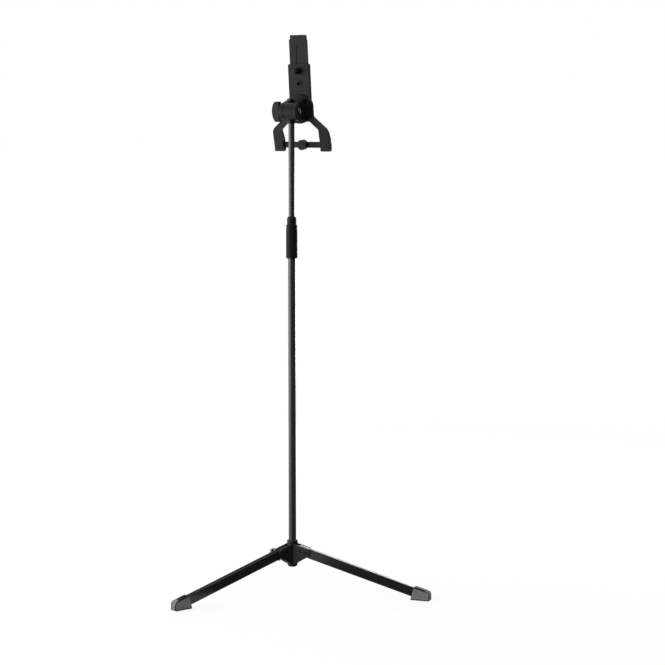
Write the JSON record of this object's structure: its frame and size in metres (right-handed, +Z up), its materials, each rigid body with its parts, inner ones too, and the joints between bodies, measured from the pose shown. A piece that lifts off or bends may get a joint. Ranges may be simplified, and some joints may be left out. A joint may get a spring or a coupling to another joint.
{
  "type": "tablet floor stand",
  "caption": "Black floor stand for a tablet: folding tripod base, telescopic mast with a twist clutch, and a tilting, turning holder with lower hooks and a sliding upper hook.",
  "frame": {"origin": "on the floor under the mast axis", "axes": "+Z up along the mast; the user stands on the -Y side and faces +Y, with +X to the user's right"},
  "size_m": [0.6377, 0.665, 1.4585],
  "materials": {
    "tube_black": "satin powder coat",
    "plastic_black": "fine moulded grain",
    "plastic_grey": "smooth moulded",
    "rubber_black": "matte",
    "bright_steel": "zinc plated",
    "brass": "turned"
  },
  "bodies": {
    "base": {"leg_hub": "plastic_black", "base_plug": "plastic_black", "leg_rivets": "bright_steel", "lower_tube": "tube_black", "clutch_body": "plastic_black", "clutch_collet": "plastic_black"},
    "leg_1": {"leg_tube_1": "tube_black", "leg_end_1": "plastic_black", "foot_cap_1": "plastic_grey"},
    "leg_2": {"leg_tube_2": "tube_black", "leg_end_2": "plastic_black", "foot_cap_2": "plastic_grey"},
    "leg_3": {"leg_tube_3": "tube_black", "leg_end_3": "plastic_black", "foot_cap_3": "plastic_grey"},
    "clutch": {"clutch_sleeve": "plastic_black"},
    "glide": {"guide_bush": "plastic_black"},
    "mast": {"upper_tube": "tube_black", "tilt_knuckle": "plastic_black", "knuckle_pin": "bright_steel"},
    "tilt_head": {"tilt_bracket": "plastic_black", "tilt_bolt": "bright_steel", "tilt_washers": "rubber_black", "swivel_screw": "bright_steel", "swivel_washer": "bright_steel"},
    "tilt_lock": {"wing_knob": "plastic_black", "knob_insert": "brass"},
    "holder": {"wishbone": "plastic_black", "cross_brace": "plastic_black", "guide_housing": "plastic_black", "frame_screws": "bright_steel", "front_cover": "plastic_black", "cover_screws": "bright_steel", "lower_pads": "rubber_black", "back_pads": "rubber_black", "stop_peg": "bright_steel", "clamp_bush": "brass"},
    "slide": {"slide_arm": "plastic_black", "hook_pad": "rubber_black"},
    "clamp": {"clamp_stud": "bright_steel", "clamp_knob": "plastic_black"}
  },
  "joints": [
    {"name": "leg_1_fold", "type": "hinge", "parent": "base", "child": "leg_1", "pos_m": [0.01355, 0.03816, 0.1005], "axis": [0.9423, -0.3346, 0], "range_deg": [0, 105.1]},
    {"name": "leg_2_fold", "type": "hinge", "parent": "base", "child": "leg_2", "pos_m": [-0.03983, -0.00735, 0.1005], "axis": [-0.1814, 0.9834, 0], "range_deg": [0, 105.1]},
    {"name": "leg_3_fold", "type": "hinge", "parent": "base", "child": "leg_3", "pos_m": [0.02628, -0.03082, 0.1005], "axis": [-0.761, -0.6488, 0], "range_deg": [0, 105.1]},
    {"name": "clutch_turn", "type": "hinge", "parent": "base", "child": "clutch", "pos_m": [0, 0, 0.923], "axis": [0, 0, 1], "range_deg": [0, 180]},
    {"name": "mast_height", "type": "slide", "parent": "base", "child": "glide", "axis": [0, 0, 1], "range_m": [-0.24, 0.3]},
    {"name": "mast_turn", "type": "hinge", "parent": "glide", "child": "mast", "pos_m": [0, 0, 1.26], "axis": [0, 0, 1], "continuous": true},
    {"name": "head_tilt", "type": "hinge", "parent": "mast", "child": "tilt_head", "pos_m": [0, 0, 1.26], "axis": [1, 0, 0], "range_deg": [-85, 8.5]},
    {"name": "tilt_lock_turn", "type": "hinge", "parent": "tilt_head", "child": "tilt_lock", "pos_m": [0.0256, 0, 1.26], "axis": [1, 0, 0], "range_deg": [0, 270]},
    {"name": "holder_turn", "type": "hinge", "parent": "tilt_head", "child": "holder", "pos_m": [0, 0.00035, 1.26398], "axis": [0, 0.9962, -0.0872], "continuous": true},
    {"name": "hook_reach", "type": "slide", "parent": "holder", "child": "slide", "axis": [0, 0.0872, 0.9962], "range_m": [-0.045, 0.035]},
    {"name": "clamp_turn", "type": "hinge", "parent": "holder", "child": "clamp", "pos_m": [0, -0.0324, 1.36583], "axis": [0, 0.9962, -0.0872], "range_deg": [0, 360]}
  ]
}
